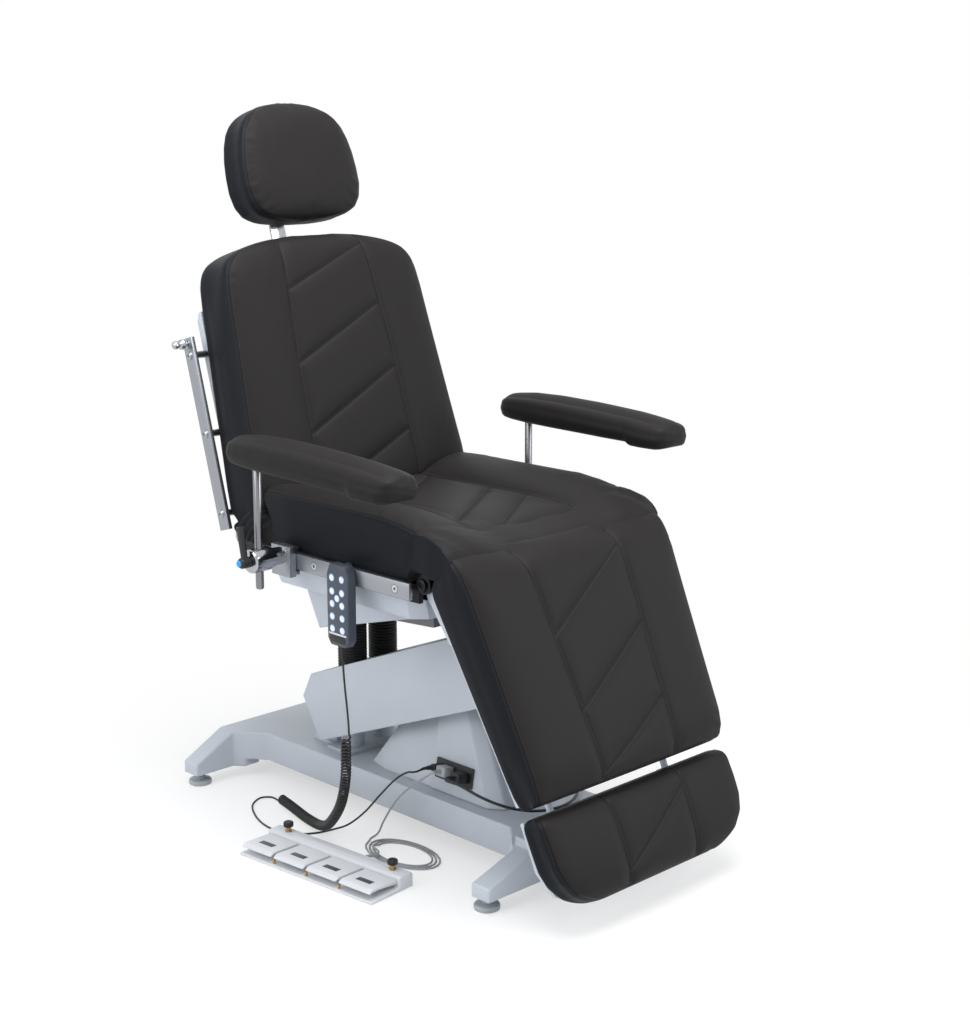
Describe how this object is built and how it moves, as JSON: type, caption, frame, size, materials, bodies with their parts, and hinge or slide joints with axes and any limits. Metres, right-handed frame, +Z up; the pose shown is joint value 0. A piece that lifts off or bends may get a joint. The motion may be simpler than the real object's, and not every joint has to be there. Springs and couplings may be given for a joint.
{
  "type": "power procedure table",
  "caption": "Powered procedure table on a low base: seat on a lift arm and columns, reclining back with headrest, drop leg section with sliding foot pad, arm pads, handset and footswitch.",
  "frame": {"origin": "floor level, at the middle of the whole table's outline in plan", "axes": "+Z up, -Y the way the sitter faces, +X towards the sitter's left"},
  "size_m": [0.9815, 1.3343, 1.6948],
  "materials": {
    "painted_cover": "satin grey paint",
    "shroud_plastic": "satin moulded plastic",
    "light_plastic": "satin",
    "grey_plastic": "satin",
    "grey_cord": "satin cable jacket",
    "black_plastic": "satin",
    "black_cord": "satin cable jacket",
    "bellows_rubber": "matt",
    "frame_steel": "dark painted steel",
    "rail_aluminium": "brushed",
    "chrome": "polished",
    "upholstery": "fine-grained coated fabric over foam"
  },
  "bodies": {
    "base": {"base_cover": "painted_cover", "levelling_foot_1": "grey_plastic", "levelling_foot_2": "grey_plastic", "levelling_foot_3": "grey_plastic", "levelling_foot_4": "grey_plastic", "tower_cover": "painted_cover", "socket_panel": "black_plastic", "handset_plug": "black_plastic", "footswitch_plug": "grey_plastic", "mains_connector": "black_plastic", "arm_pivot_stand": "frame_steel", "outer_columns": "frame_steel", "handset_cord_floor": "black_cord", "footswitch_cord": "grey_cord", "footswitch_coil": "grey_cord", "mains_cord": "black_cord", "mains_coil": "black_cord", "mains_plug": "black_plastic", "footswitch_base": "light_plastic"},
    "arm": {"lift_arm": "frame_steel", "arm_cover": "painted_cover"},
    "roller": {"arm_roller": "black_plastic"},
    "carriage": {"lift_carriage": "frame_steel", "bellows_near": "bellows_rubber", "bellows_far": "bellows_rubber", "handset": "light_plastic", "handset_cord_hang": "black_cord", "handset_cord_curl": "black_cord"},
    "seat": {"seat_frame": "frame_steel", "seat_shroud": "shroud_plastic", "seat_cushion": "upholstery", "seat_rail_near": "rail_aluminium", "seat_rail_far": "rail_aluminium", "back_hinge_shaft": "frame_steel", "knee_hinge_shaft": "frame_steel"},
    "back": {"back_panel": "painted_cover", "back_cushion": "upholstery", "back_rail_near": "rail_aluminium", "back_rail_far": "rail_aluminium"},
    "head_slider": {"head_bar": "chrome"},
    "head": {"head_bracket": "rail_aluminium", "headrest_cushion": "upholstery"},
    "leg": {"leg_panel": "painted_cover", "leg_cushion": "upholstery"},
    "foot": {"foot_panel": "painted_cover", "foot_cushion": "upholstery"},
    "clamp_near": {"clamp_near": "chrome"},
    "lever_near": {"lever_near": "black_plastic"},
    "post_near": {"post_near": "chrome"},
    "pad_near": {"arm_pad_near": "upholstery"},
    "clamp_far": {"clamp_far": "chrome"},
    "lever_far": {"lever_far": "black_plastic"},
    "post_far": {"post_far": "chrome"},
    "pad_far": {"arm_pad_far": "upholstery"},
    "pedal_1": {"pedal_1": "light_plastic"},
    "pedal_2": {"pedal_2": "light_plastic"},
    "pedal_3": {"pedal_3": "light_plastic"},
    "pedal_4": {"pedal_4": "light_plastic"},
    "knob_front": {"knob_front": "black_plastic"},
    "knob_rear": {"knob_rear": "black_plastic"}
  },
  "joints": [
    {"name": "lift", "type": "slide", "parent": "base", "child": "carriage", "axis": [0, 0, 1], "range_m": [-0.06, 0.24], "deforming": ["bellows_near", "bellows_far", "handset_cord_curl"]},
    {"name": "arm_swing", "type": "hinge", "parent": "base", "child": "arm", "pos_m": [0, 0.365, 0.235], "axis": [-1, 0, 0], "range_deg": [-6.2, 24.2]},
    {"name": "roller_spin", "type": "hinge", "parent": "arm", "child": "roller", "pos_m": [0, -0.22116, 0.4659], "axis": [1, 0, 0], "continuous": true},
    {"name": "tilt", "type": "hinge", "parent": "carriage", "child": "seat", "pos_m": [0, -0.025, 0.665], "axis": [-1, 0, 0], "range_deg": [0, 12]},
    {"name": "recline", "type": "hinge", "parent": "seat", "child": "back", "pos_m": [0, 0.39, 0.7], "axis": [1, 0, 0], "range_deg": [-74, 0]},
    {"name": "head_height", "type": "slide", "parent": "back", "child": "head_slider", "axis": [0, 0.2756, 0.9613], "range_m": [-0.03, 0.1]},
    {"name": "head_tilt", "type": "hinge", "parent": "head_slider", "child": "head", "pos_m": [0, 0.65864, 1.52803], "axis": [1, 0, 0], "range_deg": [-40, 20]},
    {"name": "leg_lift", "type": "hinge", "parent": "seat", "child": "leg", "pos_m": [0, -0.245, 0.7], "axis": [1, 0, 0], "range_deg": [-65, 0]},
    {"name": "foot_extend", "type": "slide", "parent": "leg", "child": "foot", "axis": [0, -0.4226, -0.9063], "range_m": [-0.012, 0.06]},
    {"name": "clamp_slide_near", "type": "slide", "parent": "seat", "child": "clamp_near", "axis": [0, 1, 0], "range_m": [-0.12, 0.035]},
    {"name": "lever_turn_near", "type": "hinge", "parent": "clamp_near", "child": "lever_near", "pos_m": [-0.462, 0.175, 0.7], "axis": [-1, 0, 0], "range_deg": [-60, 60]},
    {"name": "post_height_near", "type": "slide", "parent": "clamp_near", "child": "post_near", "axis": [0, 0, 1], "range_m": [-0.12, 0.06]},
    {"name": "pad_swivel_near", "type": "hinge", "parent": "post_near", "child": "pad_near", "pos_m": [-0.434, 0.175, 0.913], "axis": [0, 0, -1], "range_deg": [0, 90]},
    {"name": "clamp_slide_far", "type": "slide", "parent": "seat", "child": "clamp_far", "axis": [0, 1, 0], "range_m": [-0.12, 0.035]},
    {"name": "lever_turn_far", "type": "hinge", "parent": "clamp_far", "child": "lever_far", "pos_m": [0.462, 0.175, 0.7], "axis": [1, 0, 0], "range_deg": [-60, 60]},
    {"name": "post_height_far", "type": "slide", "parent": "clamp_far", "child": "post_far", "axis": [0, 0, 1], "range_m": [-0.12, 0.06]},
    {"name": "pad_swivel_far", "type": "hinge", "parent": "post_far", "child": "pad_far", "pos_m": [0.434, 0.175, 0.913], "axis": [0, 0, 1], "range_deg": [0, 90]},
    {"name": "press_pedal_1", "type": "hinge", "parent": "base", "child": "pedal_1", "pos_m": [-0.37049, -0.15244, 0.022], "axis": [0.0872, -0.9962, 0], "range_deg": [0, 4], "stiffness_Nm_per_rad": 4, "springref_deg": -6.88},
    {"name": "press_pedal_2", "type": "hinge", "parent": "base", "child": "pedal_2", "pos_m": [-0.37955, -0.04884, 0.022], "axis": [0.0872, -0.9962, 0], "range_deg": [0, 4], "stiffness_Nm_per_rad": 4, "springref_deg": -6.88},
    {"name": "press_pedal_3", "type": "hinge", "parent": "base", "child": "pedal_3", "pos_m": [-0.38862, 0.05476, 0.022], "axis": [0.0872, -0.9962, 0], "range_deg": [0, 4], "stiffness_Nm_per_rad": 4, "springref_deg": -6.88},
    {"name": "press_pedal_4", "type": "hinge", "parent": "base", "child": "pedal_4", "pos_m": [-0.39768, 0.15837, 0.022], "axis": [0.0872, -0.9962, 0], "range_deg": [0, 4], "stiffness_Nm_per_rad": 4, "springref_deg": -6.88},
    {"name": "turn_knob_front", "type": "hinge", "parent": "base", "child": "knob_front", "pos_m": [-0.34686, -0.16443, 0.047], "axis": [0, 0, 1], "range_deg": [-180, 180]},
    {"name": "turn_knob_rear", "type": "hinge", "parent": "base", "child": "knob_rear", "pos_m": [-0.37596, 0.1683, 0.047], "axis": [0, 0, 1], "range_deg": [-180, 180]}
  ],
  "couplings": [
    {"joint": "arm_swing", "follows": "lift", "rad_per_m": 1.745}
  ]
}
